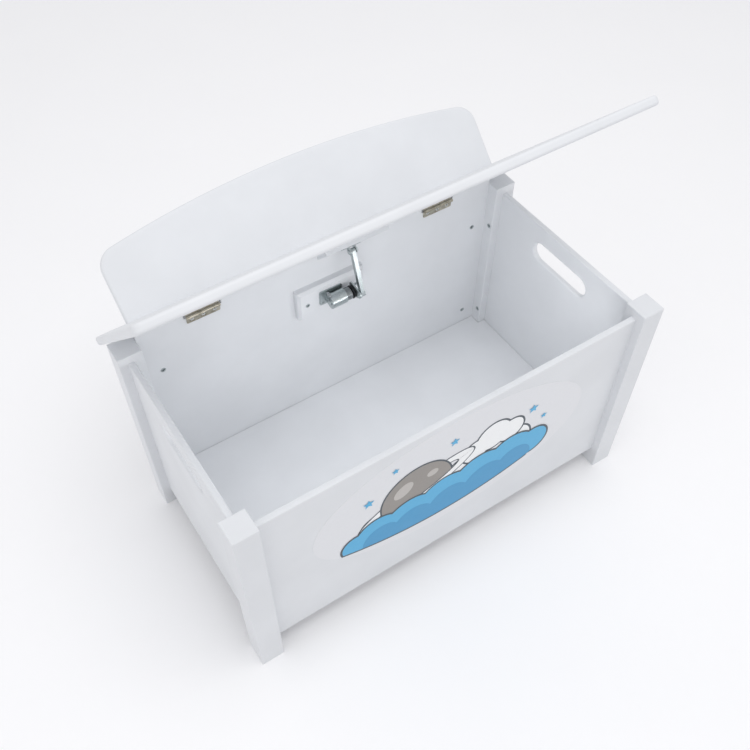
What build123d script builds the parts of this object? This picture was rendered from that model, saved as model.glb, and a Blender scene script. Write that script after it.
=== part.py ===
"""Wooden toy box with a hinged bench lid, a backrest on the lid and a torsion lid stay.

Millimetres, +Z up, front towards -Y. The rest pose has the lid held open. The origin is on the
floor, under the middle of everything that the open box covers seen from above.
"""

import os
from math import cos, radians, sin

from build123d import *

os.makedirs("parts", exist_ok=True)

# ---- driving dimensions: carcass ----
WIDTH = 650.0  # across the posts
DEPTH = 350.0  # front to back across the posts
POST_H = 350.0
POST = 35.0  # square post section
POST_EDGE = 1.5  # rounding of the post's long edges
POST_BEVEL = 0.8  # round the post's top
BOARD = 9.0  # thickness of every carcass panel
BOARD_ROUND = 2.0  # rounding of the panels' top edges
PANEL_BOTTOM = 36.0
PANEL_TOP = 337.0
BACK_TOP = 358.0  # the back panel stands above the posts and carries the hinges
BACK_INSET = 15.5  # back panel's inner face, in front of the posts' back plane
FLOOR_TOP = 59.0
CLEAT = 12.0  # square section of the floor cleats
FIT = 0.05  # gap between a fastener and its hole

# ---- driving dimensions: lid, measured from the hinge pin with the lid level ----
OPEN = 45.2  # degrees open in the rest pose
PIN_Z = 353.0
PIN_OUT = 2.9  # pin axis in front of the back panel's inner face
LID_W = 670.0
LID_D = 348.0
LID_T = 12.0
LID_CORNER = 10.0  # rounding of its corners seen from above
LID_BEHIND = 13.5  # lid's rear edge behind the pin
LID_UNDER = 13.0  # lid's underside above the pin
BACKREST_B = -6.7  # backrest's rear face
BACKREST_W = 587.0
BACKREST_H = 118.8
BACKREST_T = 12.0
BACKREST_R = 1573.0  # radius of the backrest's top edge
BACKREST_CORNER = 28.0
ROUND = 4.0  # rounding of lid and backrest edges

# ---- the origin, from the reach of the open backrest ----
TIP_Y = (DEPTH / 2 - BACK_INSET - PIN_OUT + BACKREST_B * cos(radians(OPEN))
         + (LID_UNDER + LID_T + BACKREST_H) * sin(radians(OPEN))
         - ROUND * (cos(radians(OPEN)) + sin(radians(OPEN)) - 1))
BOX_Y = (DEPTH / 2 - TIP_Y) / 2  # middle of the carcass, in front of the origin
FRONT_Y = BOX_Y - DEPTH / 2
REAR_Y = BOX_Y + DEPTH / 2
BACK_Y = REAR_Y - BACK_INSET  # inner face of the back panel
PIN_Y = BACK_Y - PIN_OUT
PANEL_IN = (POST - BOARD) / 2  # front and side panels sit in the middle of the posts
CLEAR_W = WIDTH - 2 * POST
CLEAR_D = DEPTH - 2 * POST
SIDE_X = WIDTH / 2 - PANEL_IN - BOARD  # inner face of the right panel

# Lid parts are drawn on a plane that turns with the lid: its y runs back, its z up through the lid.
LID = Plane(origin=(0, PIN_Y, PIN_Z), x_dir=(1, 0, 0), z_dir=(0, sin(radians(OPEN)), cos(radians(OPEN))))


def lid_upright(back):
    """Plane across the lid at `back` behind the pin: x across, y up through the lid, z forward."""
    return Plane(origin=LID.from_local_coords((0, back, 0)), x_dir=(1, 0, 0), z_dir=-LID.y_dir)


def save(piece, name):
    """Label the finished piece and write it to its own file."""
    piece.part.label = name
    export_step(piece.part, "parts/" + name + ".step")


# ---- fastener places in the carcass ----
NUT_R = 4.0  # barrel nut
NUT_DEEP = 7.0
NUT_SLOT = (4.6, 1.1, 1.6)  # length, width and depth of each arm of its cross recess
BOLT_R = 2.0  # connecting bolt that the barrel nut pulls
NUT_IN = 24.0  # nut's axis from a panel's end
POST_NUT_IN = 7.0  # nut's axis from a post's face
NUT_Z = (88.0, 275.0)
BOLT_INTO_POST = 20.0
SIDE_MID = SIDE_X + BOARD / 2
FRONT_MID = FRONT_Y + POST / 2
BACK_MID = BACK_Y + BOARD / 2

# Barrel nuts in the front and back panels, and the bolts that run from them into the posts.
PANEL_NUTS = [(s * (CLEAR_W / 2 - NUT_IN), y, z, dy) for s in (-1, 1) for z in NUT_Z
              for y, dy in ((FRONT_MID + BOARD / 2, -1), (BACK_Y, 1))]
PANEL_BOLTS = [(s, y, z) for s in (-1, 1) for z in NUT_Z for y in (FRONT_MID, BACK_MID)]
# Barrel nuts in the posts' inner faces, and the bolts that run from the side panels into them.
POST_NUTS = [(s, e, z) for s in (-1, 1) for e in (-1, 1) for z in NUT_Z]
BOLT_END = CLEAR_W / 2 - NUT_IN + NUT_R  # where a panel bolt meets its nut
POST_NUT_Y = CLEAR_D / 2 + POST_NUT_IN

UP = (Align.CENTER, Align.CENTER, Align.MIN)  # a cylinder that starts at its plane
DOWN = (Align.CENTER, Align.CENTER, Align.MAX)  # one that ends at its plane
POST_NUT_DEEP = SIDE_MID - CLEAR_W / 2 + NUT_R  # reaches the bolt in the middle of the side panel
NUT_PLANES = [Plane(origin=(x, y, z), z_dir=(0, dy, 0)) for x, y, z, dy in PANEL_NUTS]
POST_NUT_PLANES = [Plane(origin=(s * CLEAR_W / 2, BOX_Y + e * POST_NUT_Y, z), z_dir=(s, 0, 0))
                   for s, e, z in POST_NUTS]
BOLT_PLANES = [Plane(origin=(s * BOLT_END, y, z), z_dir=(s, 0, 0)) for s, y, z in PANEL_BOLTS]
SIDE_BOLT_PLANES = [Plane(origin=(s * SIDE_MID, BOX_Y + e * (CLEAR_D / 2 - NUT_IN), z), z_dir=(0, e, 0))
                    for s, e, z in POST_NUTS]
BOLT_L = NUT_IN - NUT_R + BOLT_INTO_POST
SIDE_BOLT_L = NUT_IN + POST_NUT_IN - NUT_R


def nuts(extra, mode=Mode.ADD):
    """Barrel nuts in the panels and in the posts, `extra` larger all round."""
    with Locations(*NUT_PLANES):
        Cylinder(NUT_R + extra, NUT_DEEP + extra, align=UP, mode=mode)
    with Locations(*POST_NUT_PLANES):
        Cylinder(NUT_R + extra, POST_NUT_DEEP + extra, align=UP, mode=mode)


def bolts(extra, mode=Mode.ADD):
    """Connecting bolts: from the panel nuts into the posts, and from the side panels to the post nuts."""
    with Locations(*BOLT_PLANES):
        Cylinder(BOLT_R + extra, BOLT_L, align=UP, mode=mode)
    with Locations(*SIDE_BOLT_PLANES):
        Cylinder(BOLT_R + extra, SIDE_BOLT_L, align=UP, mode=mode)


def drill_carcass():
    """Cut every nut pocket and bolt hole that crosses the current piece."""
    nuts(FIT, Mode.SUBTRACT)
    bolts(FIT, Mode.SUBTRACT)


# ---- posts ----
for end, y in (("front", FRONT_Y + POST / 2), ("rear", REAR_Y - POST / 2)):
    for side, x in (("left", -1), ("right", 1)):
        with BuildPart() as post:
            with BuildSketch(Plane.XY):
                with Locations((x * (WIDTH - POST) / 2, y)):
                    RectangleRounded(POST, POST, POST_EDGE)
            extrude(amount=POST_H)
            chamfer(post.faces().sort_by(Axis.Z)[-1].edges(), POST_BEVEL)
            drill_carcass()
        save(post, "post_" + end + "_" + side)

# ---- front panel ----
with BuildPart() as front_panel:
    with BuildSketch(Plane.XY.offset(PANEL_BOTTOM)):
        with Locations((0, FRONT_MID)):
            Rectangle(CLEAR_W, BOARD)
    extrude(amount=PANEL_TOP - PANEL_BOTTOM)
    fillet(front_panel.faces().sort_by(Axis.Z)[-1].edges().filter_by(Axis.X), BOARD_ROUND)
    drill_carcass()
save(front_panel, "front_panel")

# ---- hinge and stay places that the back panel is cut or drilled for ----
HINGE_X = 193.0
HINGE_L = 50.0
LEAF_T = 1.2
LEAF_H = 12.5
KNUCKLE_R = 2.6
PIN_R = 1.3
NOTCH_W = 56.0
NOTCH_FLOOR = 350.0
HINGE_SCREW_X = (-17.0, 0.0, 17.0)
HINGE_SCREW_DROP = 6.8  # screw row from the pin's axis
BLOCK_W = 112.0
BLOCK_Z = (258.0, 311.0)
BLOCK_T = 13.0
BLOCK_SCREW_X = 41.0
BLOCK_MID_Z = sum(BLOCK_Z) / 2


RECESS_L = 1.1  # arm of a cross recess over the head's radius
RECESS_W = 0.28
RECESS_DEEP = 0.8  # over the height of the head's cone


def drill(places, screw):
    """Countersunk holes, a little larger than their screws."""
    head_r, shank_r, length = screw
    with Locations(*places):
        CounterSinkHole(shank_r + FIT, head_r + FIT, length + FIT, 90)


def screws(places, screw):
    """Cross-recessed countersunk screws with their heads level with the given planes."""
    head_r, shank_r, length = screw
    with Locations(*places):
        Cylinder(shank_r, length, align=DOWN)
        Cone(shank_r, head_r, head_r - shank_r, align=DOWN)
        deep = (head_r - shank_r) * RECESS_DEEP
        Box(head_r * RECESS_L, head_r * RECESS_W, deep, align=DOWN, mode=Mode.SUBTRACT)
        Box(head_r * RECESS_W, head_r * RECESS_L, deep, align=DOWN, mode=Mode.SUBTRACT)


# Planes whose z points out of the screw's head.
BOX_HINGE_SCREWS = [Plane(origin=(h * HINGE_X + x, BACK_Y - LEAF_T, PIN_Z - HINGE_SCREW_DROP),
                          z_dir=(0, -1, 0)) for h in (-1, 1) for x in HINGE_SCREW_X]
BLOCK_SCREWS = [Plane(origin=(x, BACK_Y - BLOCK_T, BLOCK_MID_Z), z_dir=(0, -1, 0))
                for x in (-BLOCK_SCREW_X, BLOCK_SCREW_X)]
HINGE_SCREW = (2.7, 1.4, 6.5)  # head radius, shank radius, length
BLOCK_SCREW = (3.6, 1.9, 20.0)

# ---- back panel: notched at each hinge so that the lid's cleats can tip back through it ----
with BuildPart() as back_panel:
    with BuildSketch(Plane.XY.offset(PANEL_BOTTOM)):
        with Locations((0, BACK_MID)):
            Rectangle(CLEAR_W, BOARD)
    extrude(amount=BACK_TOP - PANEL_BOTTOM)
    with BuildSketch(Plane.XY.offset(NOTCH_FLOOR)):
        with Locations((-HINGE_X, BACK_MID), (HINGE_X, BACK_MID)):
            Rectangle(NOTCH_W, BOARD)
    extrude(amount=BACK_TOP - NOTCH_FLOOR, mode=Mode.SUBTRACT)
    drill_carcass()
    drill(BOX_HINGE_SCREWS, HINGE_SCREW)
    drill(BLOCK_SCREWS, BLOCK_SCREW)
save(back_panel, "back_panel")

# ---- side panels with hand slots ----
SLOT_L = 114.0
SLOT_H = 32.0
SLOT_Z = 291.5
SLOT_ROUND = 3.0  # rounding of its rims
for side, x in (("left", -1), ("right", 1)):
    with BuildPart() as side_panel:
        with BuildSketch(Plane.YZ.offset(x * SIDE_MID)):
            with Locations((BOX_Y, (PANEL_TOP + PANEL_BOTTOM) / 2)):
                Rectangle(CLEAR_D, PANEL_TOP - PANEL_BOTTOM)
            with Locations((BOX_Y, SLOT_Z)):
                SlotOverall(SLOT_L, SLOT_H, mode=Mode.SUBTRACT)
        extrude(amount=BOARD / 2, both=True)
        rims = side_panel.faces().filter_by(Axis.X).edges().filter_by(
            lambda e: abs(e.center().Z - SLOT_Z) < SLOT_H / 2 + 1
            and abs(e.center().Y - BOX_Y) < SLOT_L / 2 + 1)
        fillet(rims, SLOT_ROUND)
        fillet(side_panel.faces().sort_by(Axis.Z)[-1].edges().filter_by(Axis.Y), BOARD_ROUND)
        drill_carcass()
    save(side_panel, side + "_panel")

# ---- floor panel on two cleats that are fixed along the front and back panels ----
FLOOR_FRONT = FRONT_MID + BOARD / 2
FLOOR_GAP = 0.5
CLEAT_SHORT = 10.0  # each end of a floor cleat stops this far from the post
INNER_D = BACK_Y - FLOOR_FRONT
FLOOR_MID_Y = (FLOOR_FRONT + BACK_Y) / 2
with BuildPart() as floor_panel:
    with BuildSketch(Plane.XY.offset(FLOOR_TOP - BOARD)):
        with Locations((0, FLOOR_MID_Y)):
            Rectangle(2 * SIDE_X - 2 * FLOOR_GAP, INNER_D - 2 * FLOOR_GAP)
        for sx in (-1, 1):
            with Locations((sx * WIDTH / 2, FRONT_Y), (sx * WIDTH / 2, REAR_Y)):
                Rectangle(2 * (POST + FLOOR_GAP), 2 * (POST + FLOOR_GAP), mode=Mode.SUBTRACT)
    extrude(amount=BOARD)
save(floor_panel, "floor_panel")

for end, y in (("front", FLOOR_FRONT + CLEAT / 2), ("rear", BACK_Y - CLEAT / 2)):
    with BuildPart() as floor_cleat:
        with BuildSketch(Plane.XY.offset(FLOOR_TOP - BOARD - CLEAT)):
            with Locations((0, y)):
                Rectangle(CLEAR_W - 2 * CLEAT_SHORT, CLEAT)
        extrude(amount=CLEAT)
    save(floor_cleat, "floor_cleat_" + end)

# ---- barrel nuts and connecting bolts ----
with BuildPart() as barrel_nuts:
    nuts(0)
    with Locations(*NUT_PLANES, *POST_NUT_PLANES):
        Box(NUT_SLOT[0], NUT_SLOT[1], NUT_SLOT[2], align=UP, mode=Mode.SUBTRACT)
        Box(NUT_SLOT[1], NUT_SLOT[0], NUT_SLOT[2], align=UP, mode=Mode.SUBTRACT)
save(barrel_nuts, "barrel_nuts")

with BuildPart() as connecting_bolts:
    bolts(0)
save(connecting_bolts, "connecting_bolts")

# ---- printed film on the front panel ----
FILM_W = 444.0
FILM_H = 226.0
FILM_Z = 215.0
FILM_T = 0.3
with BuildPart() as front_picture:
    with BuildSketch(Plane.XZ.offset(-(FRONT_MID - BOARD / 2))):
        with Locations((0, FILM_Z)):
            Ellipse(FILM_W / 2, FILM_H / 2)
    extrude(amount=FILM_T)
save(front_picture, "front_picture")

# ---- screws that go up through the lid into the backrest, and up through the batten into the lid ----
BACKREST_SCREW = (4.0, 2.1, 38.0)
BACKREST_SCREW_X = (-250.0, -125.0, 125.0, 250.0)
BACKREST_SCREWS = [Plane(origin=LID.from_local_coords((x, BACKREST_B - BACKREST_T / 2, LID_UNDER)),
                         x_dir=(1, 0, 0), z_dir=-LID.z_dir) for x in BACKREST_SCREW_X]
BATTEN_X = (-16.0, 86.0)
BATTEN_B = (-42.0, -4.0)
BATTEN_SCREW = (3.4, 1.8, 20.0)
BATTEN_SCREW_IN = 12.0  # from the batten's end
BATTEN_SCREW_B = -29.0
BATTEN_SCREWS = [Plane(origin=LID.from_local_coords((x, BATTEN_SCREW_B, 0)), x_dir=(1, 0, 0), z_dir=-LID.z_dir)
                 for x in (BATTEN_X[0] + BATTEN_SCREW_IN, BATTEN_X[1] - BATTEN_SCREW_IN)]

# ---- lid board ----
LID_MID = LID_BEHIND - LID_D / 2
with BuildPart() as lid_board:
    with BuildSketch(LID.offset(LID_UNDER)):
        with Locations((0, LID_MID)):
            RectangleRounded(LID_W, LID_D, LID_CORNER)
    extrude(amount=LID_T)
    ends = lid_board.faces().sort_by(SortBy.AREA)[-2:].edges()
    fillet(ends, ROUND)
    drill(BACKREST_SCREWS, BACKREST_SCREW)
    drill(BATTEN_SCREWS, BATTEN_SCREW)
save(lid_board, "lid_board")

# ---- backrest: stands square on the lid, rounded shoulders and a shallow arched top ----
LID_TOP = LID_UNDER + LID_T
with BuildPart() as backrest:
    with BuildSketch(lid_upright(BACKREST_B)):
        with Locations((0, LID_TOP + BACKREST_H - BACKREST_R)):
            Circle(BACKREST_R)
        with Locations((0, LID_TOP + BACKREST_H / 2)):
            Rectangle(BACKREST_W, BACKREST_H, mode=Mode.INTERSECT)
    extrude(amount=BACKREST_T)
    shoulders = backrest.edges().filter_by(Axis((0, 0, 0), LID.y_dir))
    shoulders = shoulders.filter_by(lambda e: LID.to_local_coords(e.center()).Z > LID_TOP + 20)
    fillet(shoulders, BACKREST_CORNER)
    outline = backrest.edges().filter_by(lambda e: LID.to_local_coords(e.center()).Z > LID_TOP + 1)
    outline = outline.filter_by(lambda e: abs(e.length - BACKREST_T) > 0.01)
    fillet(outline, ROUND)
    drill(BACKREST_SCREWS, BACKREST_SCREW)
save(backrest, "backrest")

with BuildPart() as backrest_screws:
    screws(BACKREST_SCREWS, BACKREST_SCREW)
save(backrest_screws, "backrest_screws")

# ---- hinge cleats: three-cornered blocks under the lid, cut back so that they clear the notch floor ----
CLEAT_FRONT = PIN_OUT  # cleat's front face, level with the back panel's inner face when the lid is level
CLEAT_LOW = 1.8  # clears the fixed leaf as the lid tips back
CLEAT_BACK = 12.0
CLEAT_SLOPE = 1.2  # rise over run of the cut-back face
LID_HINGE_SCREW = (2.7, 1.4, 4.0)  # ends short of the cleat's cut-back face
LID_HINGE_SCREWS = {h: [Plane(origin=LID.from_local_coords((h * HINGE_X + x, CLEAT_FRONT - LEAF_T,
                                                            HINGE_SCREW_DROP)),
                              x_dir=(1, 0, 0), z_dir=-LID.y_dir) for x in HINGE_SCREW_X] for h in (-1, 1)}
for side, h in (("left", -1), ("right", 1)):
    start = LID.from_local_coords((h * HINGE_X - HINGE_L / 2, 0, 0))
    with BuildPart() as hinge_cleat:
        with BuildSketch(Plane(origin=start, x_dir=LID.y_dir, z_dir=(1, 0, 0))):
            with BuildLine():
                Polyline((CLEAT_FRONT, CLEAT_LOW), (CLEAT_FRONT, LID_UNDER), (CLEAT_BACK, LID_UNDER),
                         (CLEAT_BACK, CLEAT_LOW + (CLEAT_BACK - CLEAT_FRONT) * CLEAT_SLOPE),
                         (CLEAT_FRONT, CLEAT_LOW))
            make_face()
        extrude(amount=HINGE_L)
        drill(LID_HINGE_SCREWS[h], LID_HINGE_SCREW)
    save(hinge_cleat, "hinge_cleat_" + side)

# ---- butt hinges: each leaf is a plate with its own knuckles round the pin ----
KNUCKLES = 5
KNUCKLE_GAP = 0.3
KNUCKLE_L = HINGE_L / KNUCKLES
LEAF_CLEAR = KNUCKLE_R + 0.6  # a leaf's cut-outs end this far from the pin's axis
LEAF_CORNER = 2.0
TAB_LAP = 0.2  # how far a knuckle's tab runs into its plate

for side, h in (("left", -1), ("right", 1)):
    box_side = Plane(origin=(h * HINGE_X, PIN_Y, PIN_Z), x_dir=(1, 0, 0), z_dir=(0, 0, 1))
    lid_side = Plane(origin=LID.from_local_coords((h * HINGE_X, 0, 0)), x_dir=(1, 0, 0), z_dir=LID.z_dir)
    for kind, frame, up, numbers in (("fixed", box_side, -1, (0, 2, 4)), ("moving", lid_side, 1, (1, 3))):
        plate_z = up * (LEAF_CLEAR + LEAF_H) / 2
        with BuildPart() as hinge_leaf:
            plate = Plane(origin=frame.from_local_coords((0, CLEAT_FRONT - LEAF_T / 2, plate_z)),
                          x_dir=(1, 0, 0), z_dir=frame.z_dir)
            with Locations(plate):
                Box(HINGE_L, LEAF_T, LEAF_H - LEAF_CLEAR)
            fillet(hinge_leaf.edges().filter_by(Axis((0, 0, 0), frame.y_dir)).filter_by(
                lambda e: abs(frame.to_local_coords(e.center()).Z) > LEAF_H - 0.1), LEAF_CORNER)
            for n in numbers:
                # The end knuckles finish level with the leaf, so only their inner side has a gap.
                low = (n - KNUCKLES / 2) * KNUCKLE_L + (KNUCKLE_GAP / 2 if n > 0 else 0)
                high = (n + 1 - KNUCKLES / 2) * KNUCKLE_L - (KNUCKLE_GAP / 2 if n < KNUCKLES - 1 else 0)
                middle, long = (low + high) / 2, high - low
                knuckle = Plane(origin=frame.from_local_coords((middle, 0, 0)), x_dir=frame.z_dir,
                                z_dir=(1, 0, 0))
                tab = Plane(origin=frame.from_local_coords((middle, CLEAT_FRONT - LEAF_T / 2,
                                                            up * (LEAF_CLEAR + TAB_LAP) / 2)),
                            x_dir=(1, 0, 0), z_dir=frame.z_dir)
                with Locations(tab):
                    Box(long, LEAF_T, LEAF_CLEAR + TAB_LAP)
                with Locations(knuckle):
                    Cylinder(KNUCKLE_R, long)
                    Cylinder(PIN_R + FIT, long, mode=Mode.SUBTRACT)
            if kind == "fixed":
                drill([p for p in BOX_HINGE_SCREWS if p.origin.X * h > 0], HINGE_SCREW)
            else:
                drill(LID_HINGE_SCREWS[h], LID_HINGE_SCREW)
        save(hinge_leaf, "hinge_" + side + "_" + kind + "_leaf")
    with BuildPart() as hinge_pin:
        with Locations(Plane(origin=(h * HINGE_X, PIN_Y, PIN_Z), z_dir=(1, 0, 0))):
            Cylinder(PIN_R, HINGE_L)
    save(hinge_pin, "hinge_" + side + "_pin")

with BuildPart() as hinge_box_screws:
    screws(BOX_HINGE_SCREWS, HINGE_SCREW)
save(hinge_box_screws, "hinge_box_screws")
with BuildPart() as hinge_lid_screws:
    screws(LID_HINGE_SCREWS[-1] + LID_HINGE_SCREWS[1], LID_HINGE_SCREW)
save(hinge_lid_screws, "hinge_lid_screws")

# ---- lid stay: the lever turns on the barrel's axis and stays parallel to the line from the
# hinge pin to the clevis, so the link stays parallel to the line from the barrel to the hinge pin ----
BARREL_B = 23.6  # barrel's axis in front of the hinge pin
BARREL_DROP = 65.0
CLEVIS_B = -15.2  # clevis pin, from the hinge pin with the lid level
CLEVIS_C = -7.7
BARREL = (PIN_Y - BARREL_B, PIN_Z - BARREL_DROP)  # Y, Z
CLEVIS = LID.from_local_coords((0, CLEVIS_B, CLEVIS_C))
ELBOW = (BARREL[0] + CLEVIS.Y - PIN_Y, BARREL[1] + CLEVIS.Z - PIN_Z)  # lever's joint with the link
LEVER_X = 27.0
LEVER_T = 2.5
LINK_X = 30.0
LINK_T = 6.0  # across the channel
LINK_WALL = 1.4
LINK_R = 4.0
RIVET_R = 2.2
RIVET_GAP = 0.08
SPINDLE_R = 3.0
HOUSING_R = 11.3
EAR_X = -12.0
EAR_T = 2.0
EAR_H = 18.0
HOUSING_X = (EAR_X + EAR_T, 12.5)
HOUSING_WALL = 1.4
PLATE_T = 2.0
PLATE_MID_X = -3.0
PLATE_W = 38.0
PLATE_H = 26.0
PLATE_CORNER = 3.0
BLOCK_BEVEL = 4.0
PLATE_Y = BACK_Y - BLOCK_T  # the bracket's plate lies on the block
BRACKET_SCREW = (2.6, 1.4, 9.0)
BRACKET_SCREWS = [Plane(origin=(x, PLATE_Y - PLATE_T, BARREL[1] + dz), z_dir=(0, -1, 0))
                  for x in (-17.0, 10.0) for dz in (-8.5, 8.5)]

with BuildPart() as stay_block:
    with BuildSketch(Plane.XZ.offset(-BACK_Y)):
        with Locations((0, BLOCK_MID_Z)):
            Rectangle(BLOCK_W, BLOCK_Z[1] - BLOCK_Z[0])
    extrude(amount=BLOCK_T)
    chamfer(stay_block.faces().sort_by(Axis.Y)[0].edges(), BLOCK_BEVEL)
    drill(BLOCK_SCREWS, BLOCK_SCREW)
    drill(BRACKET_SCREWS, BRACKET_SCREW)
save(stay_block, "stay_block")
with BuildPart() as stay_block_screws:
    screws(BLOCK_SCREWS, BLOCK_SCREW)
save(stay_block_screws, "stay_block_screws")

with BuildPart() as stay_bracket:
    with BuildSketch(Plane.XZ.offset(-PLATE_Y)):
        with Locations((PLATE_MID_X, BARREL[1])):
            RectangleRounded(PLATE_W, PLATE_H, PLATE_CORNER)
    extrude(amount=PLATE_T)
    with BuildSketch(Plane.YZ.offset(EAR_X)):
        with Locations(BARREL):
            Circle(HOUSING_R)
        with Locations(((BARREL[0] + PLATE_Y) / 2, BARREL[1])):
            Rectangle(PLATE_Y - BARREL[0], EAR_H)
    extrude(amount=EAR_T)
    with Locations(Plane(origin=(EAR_X, BARREL[0], BARREL[1]), z_dir=(1, 0, 0))):
        Cylinder(SPINDLE_R + FIT, EAR_T * 4, mode=Mode.SUBTRACT)
    drill(BRACKET_SCREWS, BRACKET_SCREW)
save(stay_bracket, "stay_bracket")
with BuildPart() as stay_bracket_screws:
    screws(BRACKET_SCREWS, BRACKET_SCREW)
save(stay_bracket_screws, "stay_bracket_screws")

with BuildPart() as stay_housing:
    with BuildSketch(Plane.YZ.offset(HOUSING_X[0])):
        with Locations(BARREL):
            Circle(HOUSING_R)
            Circle(HOUSING_R - HOUSING_WALL, mode=Mode.SUBTRACT)
    extrude(amount=HOUSING_X[1] - HOUSING_X[0])
save(stay_housing, "stay_housing")

# The spring is close wound, so it is a stack of touching rings on a thin common wall.
SPRING_R = 8.8  # middle of the wire
SPRING_X = (-7.6, 23.1)
TURNS = 16
TURN_L = (SPRING_X[1] - SPRING_X[0]) / TURNS
WIRE_R = 0.54 * TURN_L  # a little over half a turn, so that the rings merge
with BuildPart() as stay_spring:
    with BuildSketch(Plane(origin=(0, BARREL[0], BARREL[1]), x_dir=(1, 0, 0), z_dir=(0, 0, 1))):
        with Locations(*[(SPRING_X[0] + (turn + 0.5) * TURN_L, SPRING_R) for turn in range(TURNS)]):
            Circle(WIRE_R)
        with Locations((sum(SPRING_X) / 2, SPRING_R)):
            Rectangle(TURN_L * (TURNS - 1), 0.5)
    revolve(axis=Axis((0, BARREL[0], BARREL[1]), (1, 0, 0)))
save(stay_spring, "stay_spring")

WASHER_X = 24.2
WASHER_R = 10.2
WASHER_T = 1.9
with BuildPart() as stay_washer:
    with BuildSketch(Plane.YZ.offset(WASHER_X)):
        with Locations(BARREL):
            Circle(WASHER_R)
            Circle(SPINDLE_R + FIT, mode=Mode.SUBTRACT)
    extrude(amount=WASHER_T)
    fillet(stay_washer.faces().sort_by(Axis.X)[-1].edges().sort_by(SortBy.LENGTH)[-1], WASHER_T * 0.4)
save(stay_washer, "stay_washer")

SPINDLE_X = EAR_X - 1.5  # its head stands outside the bracket's ear
with BuildPart() as stay_spindle:
    with Locations(Plane(origin=(SPINDLE_X, BARREL[0], BARREL[1]), z_dir=(1, 0, 0))):
        Cylinder(SPINDLE_R, LEVER_X + LEVER_T - SPINDLE_X, align=UP)
        Cylinder(SPINDLE_R + 2, 1.3, align=UP)
save(stay_spindle, "stay_spindle")

LEVER_R = 8.5  # round the spindle
ELBOW_R = 5.5
HEEL = (4.0, 9.0, 5.0)  # the lever's heel, behind and above the spindle: centre and radius
with BuildPart() as stay_lever:
    with BuildSketch(Plane.YZ.offset(LEVER_X)):
        with Locations(BARREL):
            Circle(LEVER_R)
        with Locations(ELBOW):
            Circle(ELBOW_R)
        with Locations((BARREL[0] + HEEL[0], BARREL[1] + HEEL[1])):
            Circle(HEEL[2])
        make_hull()
        with Locations(BARREL):
            Circle(SPINDLE_R + FIT, mode=Mode.SUBTRACT)
        with Locations(ELBOW):
            Circle(RIVET_R + FIT, mode=Mode.SUBTRACT)
    extrude(amount=LEVER_T)
save(stay_lever, "stay_lever")

# The rivet turns with the lever; the link runs on it between the lever and the rivet's outer head.
RIVET_HEAD = (3.8, 1.15)  # radius, height
HEAD_GAP = 0.3
with BuildPart() as stay_rivet:
    with Locations(Plane(origin=(LEVER_X - RIVET_HEAD[1] - 0.05, ELBOW[0], ELBOW[1]), z_dir=(1, 0, 0))):
        Cylinder(RIVET_R, LINK_X + LINK_T + HEAD_GAP - LEVER_X + 2 * RIVET_HEAD[1], align=UP)
        Cylinder(RIVET_HEAD[0], RIVET_HEAD[1], align=UP)
    with Locations(Plane(origin=(LINK_X + LINK_T + HEAD_GAP, ELBOW[0], ELBOW[1]), z_dir=(1, 0, 0))):
        Cylinder(RIVET_HEAD[0], RIVET_HEAD[1], align=UP)
save(stay_rivet, "stay_rivet")

LINK_L = ((CLEVIS.Y - ELBOW[0]) ** 2 + (CLEVIS.Z - ELBOW[1]) ** 2) ** 0.5
LINK_RUN = ((CLEVIS.Y - ELBOW[0]) / LINK_L, (CLEVIS.Z - ELBOW[1]) / LINK_L)  # Y, Z
LINK_MID = Plane(origin=(LINK_X + LINK_T / 2, (ELBOW[0] + CLEVIS.Y) / 2, (ELBOW[1] + CLEVIS.Z) / 2),
                 x_dir=(1, 0, 0), z_dir=(0, LINK_RUN[1], -LINK_RUN[0]))
LINK_BACK = LINK_MID.offset(LINK_WALL)
with BuildPart() as stay_link:
    with BuildSketch(Plane.YZ.offset(LINK_X)):
        SlotCenterPoint(center=((ELBOW[0] + CLEVIS.Y) / 2, (ELBOW[1] + CLEVIS.Z) / 2),
                        point=(CLEVIS.Y, CLEVIS.Z), height=2 * LINK_R)
        with Locations(ELBOW, (CLEVIS.Y, CLEVIS.Z)):
            Circle(RIVET_R + RIVET_GAP, mode=Mode.SUBTRACT)
    extrude(amount=LINK_T)
    # Hollowed from behind into a channel: a web in front, a wall each side, and closed ends round the pivots.
    with Locations(LINK_BACK):
        Box(LINK_T - 2 * LINK_WALL, LINK_L - 2 * LINK_R - 2, 2 * LINK_R, mode=Mode.SUBTRACT)
save(stay_link, "stay_link")

# ---- batten under the lid and the clevis bracket screwed to it ----
EARS_X = (27.4, 37.2)
EAR_W = 1.6
EAR_R = 4.5
BASE_T = 1.6
BASE_W = 29.0
BASE_D = 12.0
BASE_CORNER = 2.0
CLEVIS_MID = (EARS_X[0] + EARS_X[1] + EAR_W) / 2
CLEVIS_SCREW = (2.4, 1.3, 9.0)
CLEVIS_SCREW_X = 10.6  # each side of the middle
CLEVIS_SCREWS = [Plane(origin=LID.from_local_coords((CLEVIS_MID + x, CLEVIS_B, -BASE_T)), x_dir=(1, 0, 0),
                       z_dir=-LID.z_dir) for x in (-CLEVIS_SCREW_X, CLEVIS_SCREW_X)]
with BuildPart() as stay_batten:
    with BuildSketch(LID):
        with Locations((sum(BATTEN_X) / 2, sum(BATTEN_B) / 2)):
            Rectangle(BATTEN_X[1] - BATTEN_X[0], BATTEN_B[1] - BATTEN_B[0])
    extrude(amount=LID_UNDER)
    drill(BATTEN_SCREWS, BATTEN_SCREW)
    drill(CLEVIS_SCREWS, CLEVIS_SCREW)
save(stay_batten, "stay_batten")
with BuildPart() as batten_screws:
    screws(BATTEN_SCREWS, BATTEN_SCREW)
save(batten_screws, "batten_screws")

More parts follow.
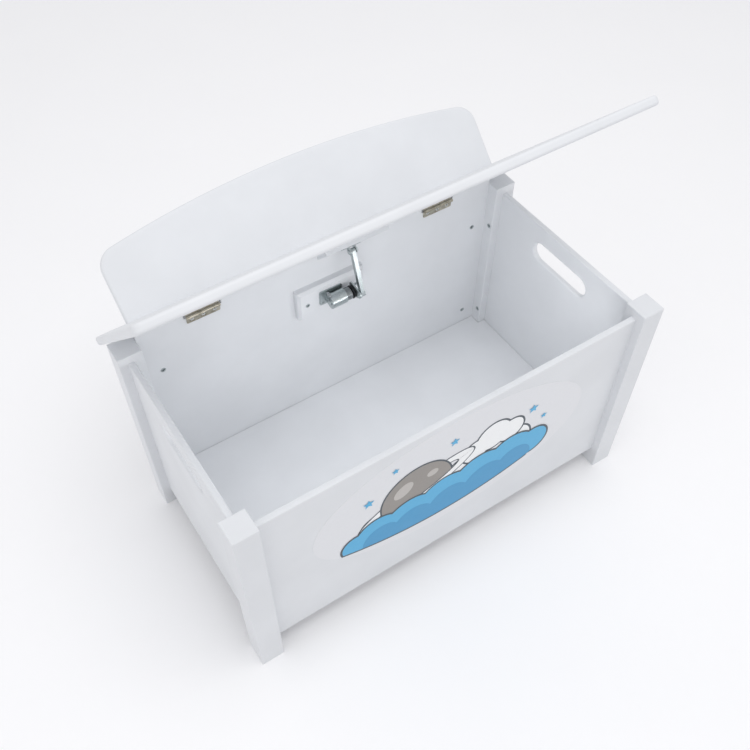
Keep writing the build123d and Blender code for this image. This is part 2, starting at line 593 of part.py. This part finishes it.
with BuildPart() as clevis_bracket:
    with BuildSketch(LID.offset(-BASE_T)):
        with Locations((CLEVIS_MID, CLEVIS_B)):
            RectangleRounded(BASE_W, BASE_D, BASE_CORNER)
    extrude(amount=BASE_T)
    for x in EARS_X:
        ear_plane = Plane(origin=LID.from_local_coords((x, CLEVIS_B, 0)), x_dir=LID.y_dir, z_dir=(1, 0, 0))
        with BuildSketch(ear_plane):
            with Locations((0, CLEVIS_C)):
                Circle(EAR_R)
            with Locations((0, (CLEVIS_C - BASE_T / 2) / 2)):
                Rectangle(2 * EAR_R, -CLEVIS_C - BASE_T / 2)
            with Locations((0, CLEVIS_C)):
                Circle(RIVET_R + FIT, mode=Mode.SUBTRACT)
        extrude(amount=EAR_W)
    drill(CLEVIS_SCREWS, CLEVIS_SCREW)
save(clevis_bracket, "clevis_bracket")
with BuildPart() as clevis_screws:
    screws(CLEVIS_SCREWS, CLEVIS_SCREW)
save(clevis_screws, "clevis_screws")
PIN_HEAD = (3.4, 1.25)  # radius, height of the clevis pin's two heads
HEAD_OFF = 0.05  # gap between a head and its ear
with BuildPart() as clevis_pin:
    with Locations(Plane(origin=(EARS_X[0] - HEAD_OFF - PIN_HEAD[1], CLEVIS.Y, CLEVIS.Z), z_dir=(1, 0, 0))):
        Cylinder(RIVET_R, EARS_X[1] + EAR_W - EARS_X[0] + 2 * (HEAD_OFF + PIN_HEAD[1]), align=UP)
        Cylinder(PIN_HEAD[0], PIN_HEAD[1], align=UP)
    with Locations(Plane(origin=(EARS_X[1] + EAR_W + HEAD_OFF, CLEVIS.Y, CLEVIS.Z), z_dir=(1, 0, 0))):
        Cylinder(PIN_HEAD[0], PIN_HEAD[1], align=UP)
save(clevis_pin, "clevis_pin")
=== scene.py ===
"""Wooden toy box: a hinged bench lid with an arched backrest, held open by a torsion stay."""

import bmesh
import bpy
import numpy as np
from mathutils import Matrix, Vector


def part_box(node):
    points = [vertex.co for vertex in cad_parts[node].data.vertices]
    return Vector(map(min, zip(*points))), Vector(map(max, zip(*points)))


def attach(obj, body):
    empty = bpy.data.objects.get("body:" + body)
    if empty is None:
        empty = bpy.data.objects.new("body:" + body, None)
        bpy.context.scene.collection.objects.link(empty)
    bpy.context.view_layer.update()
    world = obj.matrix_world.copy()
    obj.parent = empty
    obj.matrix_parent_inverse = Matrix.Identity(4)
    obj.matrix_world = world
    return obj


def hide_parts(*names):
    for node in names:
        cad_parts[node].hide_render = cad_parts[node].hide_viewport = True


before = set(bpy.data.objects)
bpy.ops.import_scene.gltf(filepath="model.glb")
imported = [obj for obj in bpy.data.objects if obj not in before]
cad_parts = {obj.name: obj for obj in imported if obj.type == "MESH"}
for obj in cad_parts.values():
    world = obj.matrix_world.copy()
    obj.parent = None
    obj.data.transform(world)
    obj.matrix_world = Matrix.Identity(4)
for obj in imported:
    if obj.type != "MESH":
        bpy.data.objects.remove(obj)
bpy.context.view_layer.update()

# ---- camera ----
# A standing adult's view down into the open box, from its front left, level to within a degree. The lens
# shift only frames it. The turn is given by the directions of the view's right, up and back.
camera = bpy.data.objects.new("camera", bpy.data.cameras.new("camera"))
bpy.context.scene.collection.objects.link(camera)
camera_right, camera_up = (0.8405, -0.5418, -0.0094), (0.4364, 0.6666, 0.6043)
camera_back = (-0.3211, -0.5120, 0.7967)
camera_turn = Matrix((camera_right, camera_up, camera_back)).transposed().to_4x4()
camera.matrix_world = Matrix.Translation((-0.4501, -0.6818, 1.2075)) @ camera_turn
camera.data.lens, camera.data.sensor_width = 42.22, 36.0
camera.data.shift_x, camera.data.shift_y = 0.0199, 0.0436
camera.data.clip_start, camera.data.clip_end = 0.05, 50.0
bpy.context.scene.camera = camera
bpy.context.scene.view_settings.view_transform = "Standard"


# ---- floor ----
# A flat pale studio floor, 18 m across, painted matt and very slightly uneven in tone. It fills a view
# from above, and seen from low down its far edge is a faint horizon.
def linear(code):
    """sRGB hex code to linear RGBA: below 0.04045 a twelfth and a bit, above it a 2.4 power."""
    share = np.array([int(code[i:i + 2], 16) for i in (0, 2, 4)]) / 255.0
    curve = np.where(share <= 0.04045, share / 12.92, ((share + 0.055) / 1.055) ** 2.4)
    return (*curve.tolist(), 1.0)


def add(tree, kind, values=(), links=(), **settings):
    """Adds one node with its own settings, constant values for its sockets, and links from other sockets."""
    made = tree.nodes.new(kind)
    for name, value in settings.items():
        setattr(made, name, value)
    for socket, value in dict(values).items():
        made.inputs[socket].default_value = value
    for socket, source in dict(links).items():
        tree.links.new(source, made.inputs[socket])
    return made


def start(name):
    """An empty material: its node tree, its shader and the piece's own coordinates in metres."""
    material = bpy.data.materials.new(name)
    material.use_nodes = True
    tree = material.node_tree
    place = add(tree, "ShaderNodeTexCoord")
    return material, tree, tree.nodes["Principled BSDF"], place.outputs["Object"]


def mesh_piece(name, points, faces, material, body=None, smooth=True):
    """A new mesh object from arrays of points (n, 3) and four-cornered faces (m, 4), riding on a body."""
    mesh = bpy.data.meshes.new(name)
    mesh.vertices.add(len(points))
    mesh.vertices.foreach_set("co", np.asarray(points, np.float32).ravel())
    mesh.loops.add(faces.size)
    mesh.loops.foreach_set("vertex_index", faces.ravel().astype(np.int32))
    mesh.polygons.add(len(faces))
    mesh.polygons.foreach_set("loop_start", (np.arange(len(faces)) * faces.shape[1]).astype(np.int32))
    mesh.polygons.foreach_set("use_smooth", np.full(len(faces), smooth))
    mesh.update(calc_edges=True)
    mesh.validate()
    piece = bpy.data.objects.new(name, mesh)
    bpy.context.scene.collection.objects.link(piece)
    mesh.materials.append(material)
    if body:
        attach(piece, body)
    return piece


studio_paint, tree, shader, place = start("matt_studio_paint")
mottle = add(tree, "ShaderNodeTexNoise", {"Scale": 6.0, "Detail": 3.0}, {"Vector": place})
tint = add(tree, "ShaderNodeValToRGB", links={"Fac": mottle.outputs["Fac"]})
tint.color_ramp.elements[0].color, tint.color_ramp.elements[1].color = linear("FCFCFD"), linear("FEFEFF")
tree.links.new(tint.outputs["Color"], shader.inputs["Base Color"])
shader.inputs["Roughness"].default_value = 0.85
floor_half = 9.0
floor_x, floor_y = np.meshgrid([-floor_half, floor_half], [-floor_half, floor_half])
floor = mesh_piece("studio_floor", np.stack([floor_x.ravel(), floor_y.ravel(), np.zeros(4)], 1),
                   np.array([[0, 1, 3, 2]]), studio_paint)

# ---- light ----
# A broad soft box overhead, a weak one at the left, a pale surround, and a small fill low behind the
# front panel, where the closed lid shuts it in.
world = bpy.data.worlds.new("studio_surround")
bpy.context.scene.world = world
world.use_nodes = True
world.node_tree.nodes["Background"].inputs["Color"].default_value = linear("FAFAFC")
world.node_tree.nodes["Background"].inputs["Strength"].default_value = 0.78
for lamp_name, spot, target, size, power in (
        ("soft_box_overhead", (0.15, -0.45, 2.4), (0.0, 0.0, 0.25), (1.5, 1.5), 15.0),
        ("soft_box_left", (-2.2, -0.6, 1.6), (0.0, 0.0, 0.25), (2.0, 2.0), 5.0),
        ("fill_inside_box", (-0.02, -0.178, 0.315), (-0.02, 0.12, 0.20), (0.50, 0.03), 0.42)):
    lamp = bpy.data.objects.new(lamp_name, bpy.data.lights.new(lamp_name, "AREA"))
    lamp.data.shape, lamp.data.energy = "RECTANGLE", power
    lamp.data.size, lamp.data.size_y = size
    lamp.visible_camera = False
    aim = Vector(target) - Vector(spot)
    lamp.matrix_world = Matrix.Translation(spot) @ aim.to_track_quat("-Z", "Y").to_matrix().to_4x4()
    bpy.context.scene.collection.objects.link(lamp)

# ---- carcass panels, floor board, lid, backrest, cleats, batten and stay block ----
# Fibreboard, cut and edge-rounded, then sprayed white. The satin lacquer levels almost flat and leaves
# a faint orange peel with dimples about 2.5 mm apart.
lacquer, tree, shader, place = start("satin_lacquered_fibreboard")
cloudy = add(tree, "ShaderNodeTexNoise", {"Scale": 14.0, "Detail": 3.0}, {"Vector": place})
tint = add(tree, "ShaderNodeValToRGB", links={"Fac": cloudy.outputs["Fac"]})
tint.color_ramp.elements[0].position, tint.color_ramp.elements[1].position = 0.35, 0.68
tint.color_ramp.elements[0].color, tint.color_ramp.elements[1].color = linear("DFE1E4"), linear("E3E5E8")
tree.links.new(tint.outputs["Color"], shader.inputs["Base Color"])
peel = add(tree, "ShaderNodeTexNoise", {"Scale": 400.0, "Detail": 1.0}, {"Vector": place})
dimples = add(tree, "ShaderNodeBump", {"Strength": 0.10, "Distance": 0.00012},
              {"Height": peel.outputs["Fac"]})
tree.links.new(dimples.outputs["Normal"], shader.inputs["Normal"])
sheen = add(tree, "ShaderNodeMapRange", {"To Min": 0.40, "To Max": 0.50}, {"Value": cloudy.outputs["Fac"]})
tree.links.new(sheen.outputs["Result"], shader.inputs["Roughness"])
shader.inputs["IOR"].default_value = 1.48


def finish_node(name, material):
    """Gives a CAD node its material. Its triangles are welded and shaded smooth, and parted where they meet at
    more than 32 degrees, so that curved faces look round and edges stay crisp."""
    weld_reach, sharpest_smooth = 0.00001, 32
    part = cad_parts[name]
    part.data.materials.clear()
    part.data.materials.append(material)
    part.data.polygons.foreach_set("use_smooth", np.ones(len(part.data.polygons), bool))
    part.modifiers.new("weld", "WELD").merge_threshold = weld_reach
    part.modifiers.new("edges", "EDGE_SPLIT").split_angle = np.radians(sharpest_smooth)


for board in ("front_panel", "back_panel", "left_panel", "right_panel", "floor_panel", "floor_cleat_front",
              "floor_cleat_rear", "lid_board", "backrest", "hinge_cleat_left", "hinge_cleat_right",
              "stay_batten", "stay_block"):
    finish_node(board, lacquer)

# ---- posts ----
# Square solid-wood posts, sprayed with the same lacquer. The grain still shows as faint upright ripples,
# about 3 mm apart across the grain.
post_lacquer, tree, shader, place = start("satin_lacquered_pine")
along = add(tree, "ShaderNodeMapping", {"Scale": (1.0, 1.0, 0.04)}, {"Vector": place})
grain = add(tree, "ShaderNodeTexNoise", {"Scale": 330.0, "Detail": 3.0}, {"Vector": along.outputs["Vector"]})
cloudy = add(tree, "ShaderNodeTexNoise", {"Scale": 14.0, "Detail": 3.0}, {"Vector": place})
tint = add(tree, "ShaderNodeValToRGB", links={"Fac": cloudy.outputs["Fac"]})
tint.color_ramp.elements[0].position, tint.color_ramp.elements[1].position = 0.35, 0.68
tint.color_ramp.elements[0].color, tint.color_ramp.elements[1].color = linear("DEE0E3"), linear("E2E4E7")
tree.links.new(tint.outputs["Color"], shader.inputs["Base Color"])
ripples = add(tree, "ShaderNodeBump", {"Strength": 0.14, "Distance": 0.0002},
              {"Height": grain.outputs["Fac"]})
tree.links.new(ripples.outputs["Normal"], shader.inputs["Normal"])
sheen = add(tree, "ShaderNodeMapRange", {"To Min": 0.40, "To Max": 0.50}, {"Value": cloudy.outputs["Fac"]})
tree.links.new(sheen.outputs["Result"], shader.inputs["Roughness"])
shader.inputs["IOR"].default_value = 1.48
for post in ("post_front_left", "post_front_right", "post_rear_left", "post_rear_right"):
    finish_node(post, post_lacquer)

# ---- printed film on the front ----
# An oval of satin vinyl, stuck on the front panel: a ringed planet over clouds, among small stars.
# Each ink is a flat layer, 0.04 mm in front of the one it overprints. Sizes are in millimetres.
LAYER_GAP = 0.04
OUTLINE = 3.2  # how far a cloud's dark edge shows round it
film_low, film_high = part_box("front_picture")
film_face = film_low.y


def ink(name, low, high, speck):
    """A printed ink: its colour wanders between two codes at the given grain, in millimetres."""
    material, tree, shader, place = start(name)
    grain = add(tree, "ShaderNodeTexNoise", {"Scale": 1000.0 / speck, "Detail": 2.0}, {"Vector": place})
    tint = add(tree, "ShaderNodeValToRGB", links={"Fac": grain.outputs["Fac"]})
    tint.color_ramp.elements[0].color, tint.color_ramp.elements[1].color = linear(low), linear(high)
    tree.links.new(tint.outputs["Color"], shader.inputs["Base Color"])
    shader.inputs["Roughness"].default_value = 0.34
    return material


film = ink("satin_vinyl_film", "E2E3E6", "E6E7EA", 5.0)
finish_node("front_picture", film)
blue_ink = ink("blue_ink", "45ABDA", "50B3E0", 4.0)
deep_blue_ink = ink("deep_blue_ink", "2F93C6", "359ACD", 4.0)
outline_ink = ink("outline_ink", "323F49", "3B4853", 3.0)
grey_ink = ink("grey_ink", "8D8781", "96908A", 3.0)
pale_grey_ink = ink("pale_grey_ink", "B9B4AF", "C2BDB8", 3.0)
white_ink = ink("white_ink", "F4F5F6", "F9FAFA", 4.0)


def layer(name, across, up, depth, material):
    """A print layer from grids of x and z in millimetres: each row of points is joined to the next row, and the
    faces are turned to look forward."""
    same_point = 1e-7
    rows, columns = across.shape
    y = np.full(across.size, film_face * 1000.0 - LAYER_GAP * (depth + 1))
    points = np.stack([across.ravel(), y, up.ravel()], 1) / 1000.0
    corner = (np.arange(rows - 1)[:, None] * columns + np.arange(columns - 1)[None, :]).ravel()
    faces = np.stack([corner, corner + 1, corner + columns + 1, corner + columns], 1)
    first = points[faces[len(faces) // 2]]
    if np.cross(first[1] - first[0], first[2] - first[0])[1] > 0:
        faces = faces[:, ::-1]
    piece = mesh_piece("print_" + name, points, np.ascontiguousarray(faces), material, "box",
                       False)
    closing = bmesh.new()  # a disc's middle and a ring's seam are each made one
    closing.from_mesh(piece.data)
    bmesh.ops.remove_doubles(closing, verts=closing.verts, dist=same_point)
    closing.to_mesh(piece.data)
    closing.free()
    return piece


def cloud(name, puffs, grow, depth, material, belly=None):
    """A cloud: over each x, from the lowest to the highest point of the circles (x, z, radius), grown all
    round. The columns crowd towards both ends by a cosine and stop just short of them, where the cloud has
    no height. With `belly` (middle x, half width, end z, sag), the underside is a parabola that sags in the
    middle."""
    columns, stop_short = 260, 0.002
    px, pz, pr = (np.array(c, float)[:, None] for c in zip(*puffs))
    pr = pr + grow
    ends = (px - pr).min(), (px + pr).max()
    x = ends[0] + (ends[1] - ends[0]) * (1 - np.cos(np.linspace(stop_short, np.pi - stop_short, columns))) / 2
    half = np.sqrt(np.clip(pr ** 2 - (x - px) ** 2, 0, None))
    inside = np.abs(x - px) <= pr
    if not inside.any(0).all():
        raise ValueError(name + ": its circles leave a gap")
    top = np.where(inside, pz + half, -np.inf).max(0)
    bottom = np.where(inside, pz - half, np.inf).min(0)
    if belly:
        sag = belly[2] - belly[3] * (1 - ((x - belly[0]) / belly[1]) ** 2)
        bottom = np.minimum(np.maximum(bottom, sag[None, :] - grow).max(0), top)
    share = np.linspace(0, 1, 4)[:, None]
    return layer(name, np.broadcast_to(x, (4, len(x))), bottom + (top - bottom) * share, depth, material)


def ring(name, middle, outer, inner, tilt, part, depth, material):
    """A tilted oval band: between two ellipses (half width, half height), over the given part of a turn. An
    inner ellipse of no size makes it a full oval."""
    turn = np.radians(np.linspace(part[0], part[1], 120))[None, :]
    share = np.linspace(0, 1, 3)[:, None]
    u = (inner[0] + (outer[0] - inner[0]) * share) * np.cos(turn)
    v = (inner[1] + (outer[1] - inner[1]) * share) * np.sin(turn)
    lean = np.radians(tilt)
    return layer(name, middle[0] + u * np.cos(lean) - v * np.sin(lean),
                 middle[1] + u * np.sin(lean) + v * np.cos(lean), depth, material)


def star(name, middle, reach, depth, material):
    """A five-pointed star: straight edges, as a line is in polar form, run between the points' tips and the
    notches, which are 0.45 as far from the middle."""
    notch = 0.45
    turn = np.linspace(0, 2 * np.pi, 41)[None, :]
    tenth = np.pi / 5
    swing = np.abs((turn / tenth) % 2 - 1)
    radius = reach * notch * np.sin(tenth) / (notch * np.sin(tenth * swing) + np.sin(tenth * (1 - swing)))
    share = np.linspace(0.0, 1, 3)[:, None]
    return layer(name, middle[0] + share * radius * np.sin(turn), middle[1] + share * radius * np.cos(turn),
                 depth, material)


PLANET = (-62.0, 214.0)
BELLY = (-8.0, 176.0, 156.0, 32.0)
LOW_CLOUD = [(-158, 162, 22), (-124, 164, 36), (-72, 158, 44), (-14, 160, 48), (44, 164, 50), (98, 172, 44),
             (138, 176, 28)]
LEFT_CLOUD = [(-128, 186, 22), (-100, 188, 26)]
MID_CLOUD = [(14, 200, 32), (56, 208, 40), (100, 204, 30)]
SHADE = [(-118, 146, 30), (-66, 142, 34), (-6, 142, 36), (56, 144, 38), (108, 150, 32)]
HIGH_CLOUD = [(34, 232, 22), (62, 246, 28), (92, 238, 22)]
cloud("left_cloud_edge", LEFT_CLOUD, OUTLINE, 0, outline_ink)
cloud("left_cloud", LEFT_CLOUD, 0, 1, white_ink)
cloud("mid_cloud_edge", MID_CLOUD, OUTLINE, 0, outline_ink)
cloud("mid_cloud", MID_CLOUD, 0, 1, white_ink)
cloud("high_cloud_edge", HIGH_CLOUD, OUTLINE, 2, outline_ink)
cloud("high_cloud", HIGH_CLOUD, 0, 3, white_ink)
ring("ring_back_edge", PLANET, (98, 27), (68, 13), 18, (0, 180), 4, outline_ink)
ring("ring_back", PLANET, (95.4, 24.4), (70.6, 15.6), 18, (0, 180), 5, white_ink)
ring("planet_edge", PLANET, (58.6, 58.6), (0, 0), 0, (0, 360), 6, outline_ink)
ring("planet", PLANET, (56, 56), (0, 0), 0, (0, 360), 7, grey_ink)
ring("planet_light", (PLANET[0] - 22, PLANET[1] + 20), (17, 12), (0, 0), 40, (0, 360), 8, pale_grey_ink)
ring("planet_crater_low", (PLANET[0] + 24, PLANET[1] + 26), (9, 7), (0, 0), 0, (0, 360), 8, pale_grey_ink)
ring("ring_front_edge", PLANET, (98, 27), (68, 13), 18, (180, 360), 9, outline_ink)
ring("ring_front", PLANET, (95.4, 24.4), (70.6, 15.6), 18, (180, 360), 10, white_ink)
cloud("low_cloud_edge", LOW_CLOUD, OUTLINE, 11, outline_ink, BELLY)
cloud("low_cloud", LOW_CLOUD, 0, 12, blue_ink, BELLY)
cloud("low_cloud_shade", SHADE, 0, 13, deep_blue_ink, BELLY)
STARS = [(-138, 250, 9), (-6, 284, 8), (128, 258, 9), (-98, 292, 6), (152, 226, 6)]  # x, z, reach
for number, (x, z, reach) in enumerate(STARS):
    star("star_%d" % number, (x, z), reach, 14, blue_ink)

# ---- hinges ----
# Two butt hinges of pressed steel, yellow-passivated. Rolling leaves fine lines along the leaf,
# about 0.6 mm apart, drawn a little coarser than they are.
hinge_plate, tree, shader, place = start("passivated_pressed_steel")
along = add(tree, "ShaderNodeMapping", {"Scale": (0.06, 1.0, 1.0)}, {"Vector": place})
lines = add(tree, "ShaderNodeTexNoise", {"Scale": 1600.0, "Detail": 2.0},
            {"Vector": along.outputs["Vector"]})
tarnish = add(tree, "ShaderNodeTexNoise", {"Scale": 120.0, "Detail": 3.0}, {"Vector": place})
tint = add(tree, "ShaderNodeValToRGB", links={"Fac": tarnish.outputs["Fac"]})
tint.color_ramp.elements[0].position, tint.color_ramp.elements[1].position = 0.35, 0.65
tint.color_ramp.elements[0].color, tint.color_ramp.elements[1].color = linear("9D9686"), linear("C6C0B0")
tree.links.new(tint.outputs["Color"], shader.inputs["Base Color"])
shader.inputs["Metallic"].default_value = 1.0
worn = add(tree, "ShaderNodeMapRange", {"To Min": 0.24, "To Max": 0.42}, {"Value": lines.outputs["Fac"]})
tree.links.new(worn.outputs["Result"], shader.inputs["Roughness"])
scratch = add(tree, "ShaderNodeBump", {"Strength": 0.25, "Distance": 0.00008},
              {"Height": lines.outputs["Fac"]})
tree.links.new(scratch.outputs["Normal"], shader.inputs["Normal"])
for metal in ("hinge_left_fixed_leaf", "hinge_right_fixed_leaf", "hinge_left_moving_leaf",
              "hinge_right_moving_leaf", "hinge_left_pin", "hinge_right_pin"):
    finish_node(metal, hinge_plate)

# ---- barrel nuts, bolts, other screws, bracket, housing, lever, link and clevis ----
# Turned and pressed steel, plated with bright zinc. The plating keeps a fine crystalline mottle, about
# 1.2 mm across, which breaks up its shine.
zinc, tree, shader, place = start("bright_zinc_plate")
mottle = add(tree, "ShaderNodeTexNoise", {"Scale": 830.0, "Detail": 3.0}, {"Vector": place})
tint = add(tree, "ShaderNodeValToRGB", links={"Fac": mottle.outputs["Fac"]})
tint.color_ramp.elements[0].position, tint.color_ramp.elements[1].position = 0.35, 0.65
tint.color_ramp.elements[0].color, tint.color_ramp.elements[1].color = linear("A9B1B3"), linear("C8CFCF")
tree.links.new(tint.outputs["Color"], shader.inputs["Base Color"])
shader.inputs["Metallic"].default_value = 1.0
worn = add(tree, "ShaderNodeMapRange", {"To Min": 0.28, "To Max": 0.42}, {"Value": mottle.outputs["Fac"]})
tree.links.new(worn.outputs["Result"], shader.inputs["Roughness"])
grit = add(tree, "ShaderNodeBump", {"Strength": 0.12, "Distance": 0.00006}, {"Height": mottle.outputs["Fac"]})
tree.links.new(grit.outputs["Normal"], shader.inputs["Normal"])
for metal in ("barrel_nuts", "connecting_bolts", "backrest_screws", "batten_screws", "clevis_screws",
              "clevis_bracket", "clevis_pin", "stay_block_screws", "stay_bracket", "stay_bracket_screws",
              "stay_housing", "stay_lever", "stay_link", "stay_rivet", "stay_spindle"):
    finish_node(metal, zinc)

# ---- hinge screws ----
# Countersunk cross-head screws with polished nickel heads, brighter than the leaves they hold. A driver
# leaves faint scuffs on them, about 1 mm across.
nickel, tree, shader, place = start("polished_nickel_plate")
scuffs = add(tree, "ShaderNodeTexNoise", {"Scale": 1000.0, "Detail": 2.0}, {"Vector": place})
tint = add(tree, "ShaderNodeValToRGB", links={"Fac": scuffs.outputs["Fac"]})
tint.color_ramp.elements[0].color, tint.color_ramp.elements[1].color = linear("D9D8D2"), linear("EDECE8")
tree.links.new(tint.outputs["Color"], shader.inputs["Base Color"])
shader.inputs["Metallic"].default_value = 1.0
worn = add(tree, "ShaderNodeMapRange", {"To Min": 0.16, "To Max": 0.30}, {"Value": scuffs.outputs["Fac"]})
tree.links.new(worn.outputs["Result"], shader.inputs["Roughness"])
for metal in ("hinge_box_screws", "hinge_lid_screws"):
    finish_node(metal, nickel)

# ---- torsion spring ----
# Hard-drawn wire, 1.9 mm thick, wound close in 16 turns round the spindle. Drawing leaves it dull and a
# little streaked along the wire.
spring_wire, tree, shader, place = start("hard_drawn_spring_wire")
streak = add(tree, "ShaderNodeTexNoise", {"Scale": 900.0, "Detail": 2.0}, {"Vector": place})
tint = add(tree, "ShaderNodeValToRGB", links={"Fac": streak.outputs["Fac"]})
tint.color_ramp.elements[0].color, tint.color_ramp.elements[1].color = linear("8B8F92"), linear("B0B4B6")
tree.links.new(tint.outputs["Color"], shader.inputs["Base Color"])
shader.inputs["Metallic"].default_value = 1.0
worn = add(tree, "ShaderNodeMapRange", {"To Min": 0.26, "To Max": 0.40}, {"Value": streak.outputs["Fac"]})
tree.links.new(worn.outputs["Result"], shader.inputs["Roughness"])


def wire(name, line, radius, body, material):
    """A round wire along a line of points (n, 3): at each point a circle square to the line, its two axes made
    from the line's direction and the row's X axis. A point at each end closes it."""
    ahead = np.gradient(line, axis=0)
    ahead /= np.linalg.norm(ahead, axis=1)[:, None]
    side = np.cross(ahead, np.array([1.0, 0.02, 0.03]))
    side /= np.linalg.norm(side, axis=1)[:, None]
    over = np.cross(ahead, side)
    count = 12  # points round the wire
    turn = np.linspace(0, 2 * np.pi, count, endpoint=False)
    rings = (line[:, None, :] + radius * (np.cos(turn)[None, :, None] * side[:, None, :]
                                          + np.sin(turn)[None, :, None] * over[:, None, :]))
    points = np.concatenate([rings.reshape(-1, 3), line[:1], line[-1:]])
    here = np.arange(count)
    after = (here + 1) % count
    base = (np.arange(len(line) - 1) * count)[:, None]
    sides = np.stack([base + here, base + after, base + count + after, base + count + here], 2).reshape(-1, 4)
    first, last = len(line) * count, len(line) * count + 1
    end = (len(line) - 1) * count
    caps = np.concatenate([np.stack([np.full(count, first), after, here], 1),
                           np.stack([np.full(count, last), end + here, end + after], 1)])
    mesh = bpy.data.meshes.new(name)
    mesh.from_pydata(points.tolist(), [], sides.tolist() + caps.tolist())
    mesh.polygons.foreach_set("use_smooth", np.ones(len(mesh.polygons), bool))
    mesh.update()
    piece = bpy.data.objects.new(name, mesh)
    bpy.context.scene.collection.objects.link(piece)
    mesh.materials.append(material)
    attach(piece, body)
    return piece


coil_low, coil_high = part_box("stay_spring")
coil_radius, coil_wire = 0.0088, 0.00093
coil_turns, points_a_turn = 16, 40
t = np.linspace(0, 1, coil_turns * points_a_turn + 1)
angle = 2 * np.pi * coil_turns * t
coil_line = np.stack([coil_low.x + coil_wire + (coil_high.x - coil_low.x - 2 * coil_wire) * t,
                      (coil_low.y + coil_high.y) / 2 + coil_radius * np.cos(angle),
                      (coil_low.z + coil_high.z) / 2 + coil_radius * np.sin(angle)], 1)
coil = wire("spring_coil", coil_line, coil_wire, "box", spring_wire)
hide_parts("stay_spring")

# ---- spring's anchor ----
# An open hook of the same wire, lying against the outer face of the bracket's ear and standing above it.
# It stands for the spring's fixed end; the stretch of wire that joins it to the coil isn't made.
spindle_low, spindle_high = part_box("stay_spindle")
head_stands = 0.0015  # how far the spindle's head stands outside the ear
ear_face = spindle_low.x + head_stands
bend = np.radians(np.linspace(-60, 215, 36))
hook_radius = 0.0042
hook_line = np.stack([np.full(bend.size, ear_face - coil_wire),
                      (coil_low.y + coil_high.y) / 2 + hook_radius * np.cos(bend),
                      coil_high.z + hook_radius * (1 + np.sin(bend))], 1)
wire("spring_anchor", hook_line, coil_wire, "box", spring_wire)

# ---- washer at the spring's end ----
# A moulded ring of black nylon on the spindle, which keeps the spring off the lever. It is dull, with a
# faint grain about 0.8 mm across.
nylon, tree, shader, place = start("moulded_black_nylon")
grain = add(tree, "ShaderNodeTexNoise", {"Scale": 1200.0, "Detail": 2.0}, {"Vector": place})
tint = add(tree, "ShaderNodeValToRGB", links={"Fac": grain.outputs["Fac"]})
tint.color_ramp.elements[0].color, tint.color_ramp.elements[1].color = linear("17181B"), linear("232529")
tree.links.new(tint.outputs["Color"], shader.inputs["Base Color"])
shader.inputs["Roughness"].default_value = 0.48
pits = add(tree, "ShaderNodeBump", {"Strength": 0.15, "Distance": 0.00008}, {"Height": grain.outputs["Fac"]})
tree.links.new(pits.outputs["Normal"], shader.inputs["Normal"])
finish_node("stay_washer", nylon)
